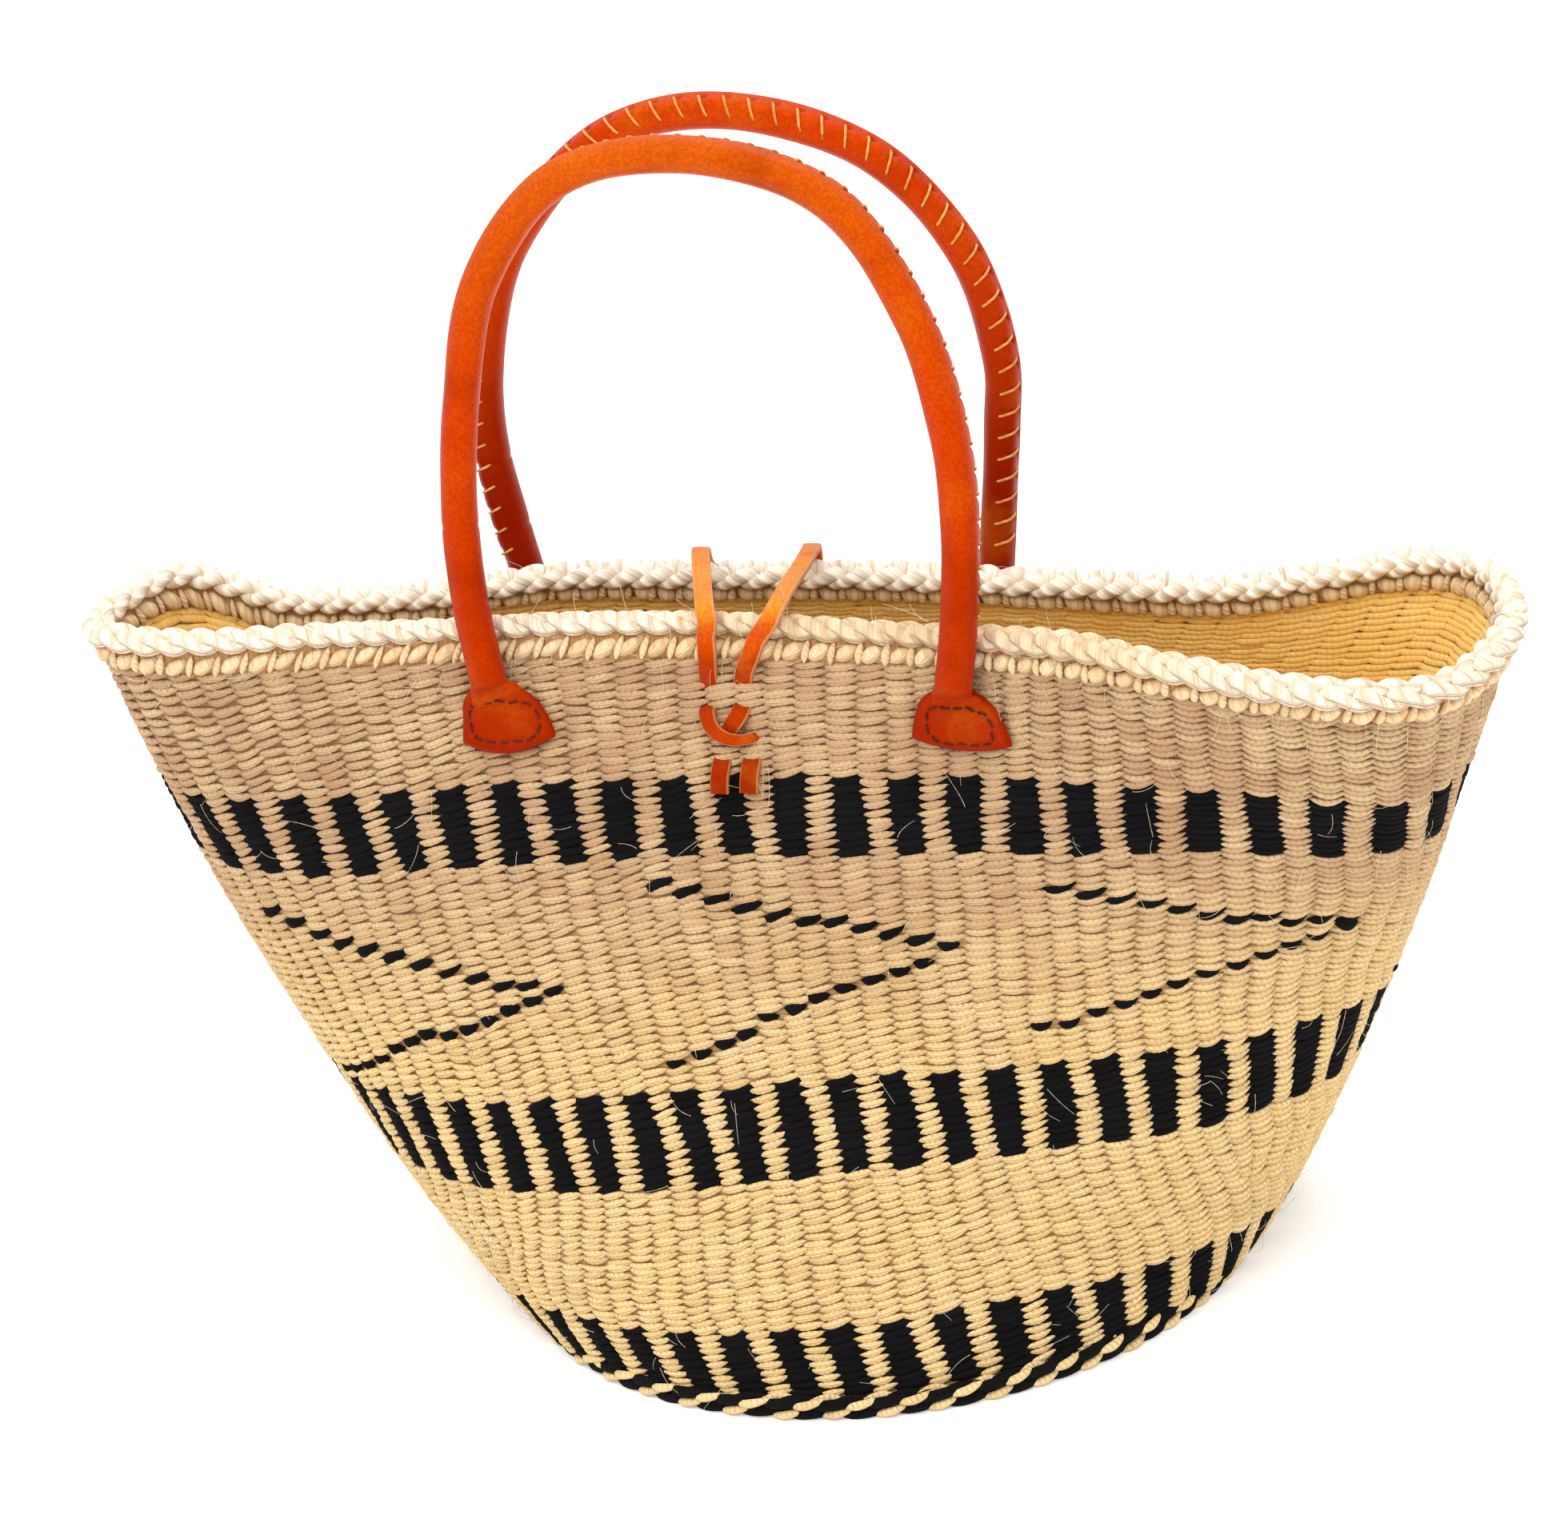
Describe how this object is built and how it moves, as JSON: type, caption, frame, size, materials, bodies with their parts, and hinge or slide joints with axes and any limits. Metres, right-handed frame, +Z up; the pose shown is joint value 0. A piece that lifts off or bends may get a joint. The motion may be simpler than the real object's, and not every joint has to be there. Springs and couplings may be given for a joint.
{
  "type": "woven market basket",
  "caption": "Twined sisal market basket with a round base, a long flattened mouth, dark check bands, rolled leather carrying handles and a leather closing loop.",
  "frame": {"origin": "centre of the flat underside of the round base", "axes": "+Z up from the base to the mouth, +X along the length of the mouth towards its right end, -Y towards the front"},
  "size_m": [0.4698, 0.2518, 0.3896],
  "materials": {
    "natural_sisal": "matte",
    "black_and_natural_sisal": "matte",
    "pale_sisal": "matte",
    "tan_leather": "satin",
    "leather_thong": "satin",
    "brown_thread": "matte",
    "cord_core": "matte"
  },
  "bodies": {
    "basket": {"base_disc": "natural_sisal", "lower_plain_wall": "natural_sisal", "zigzag_wall": "natural_sisal", "upper_plain_wall": "natural_sisal", "base_edge_braid": "black_and_natural_sisal", "lower_check_band": "black_and_natural_sisal", "middle_check_band": "black_and_natural_sisal", "upper_check_band": "black_and_natural_sisal", "rim_stitch_course": "pale_sisal", "rim_plait": "pale_sisal", "tab_front_left": "tan_leather", "tab_front_right": "tan_leather", "tab_rear_left": "tan_leather", "tab_rear_right": "tan_leather", "stitching_front_left": "brown_thread", "stitching_front_right": "brown_thread", "stitching_rear_left": "brown_thread", "stitching_rear_right": "brown_thread", "closure_leg_left": "leather_thong", "closure_leg_right": "leather_thong", "closure_half_knot": "leather_thong", "closure_tail_left": "leather_thong", "closure_tail_right": "leather_thong", "closure_toggle": "leather_thong"},
    "front_handle": {"front_handle_sleeve": "tan_leather", "front_handle_core": "cord_core", "front_handle_seam": "brown_thread"},
    "rear_handle": {"rear_handle_sleeve": "tan_leather", "rear_handle_core": "cord_core", "rear_handle_seam": "brown_thread"},
    "closure_loop_body": {"closure_loop": "leather_thong"}
  },
  "joints": [
    {"name": "front_handle_swing", "type": "hinge", "parent": "basket", "child": "front_handle", "pos_m": [-0.0225, -0.044, 0.21675], "axis": [0.9914, -0.1309, 0.0031], "range_deg": [0, 120]},
    {"name": "rear_handle_swing", "type": "hinge", "parent": "basket", "child": "rear_handle", "pos_m": [-0.027, 0.0471, 0.214], "axis": [-0.9998, 0.0188, 0], "range_deg": [0, 115]},
    {"name": "closure_loop_swing", "type": "hinge", "parent": "basket", "child": "closure_loop_body", "pos_m": [-0.0125, -0.0335, 0.2372], "axis": [1, 0, 0], "range_deg": [0, 150]}
  ]
}
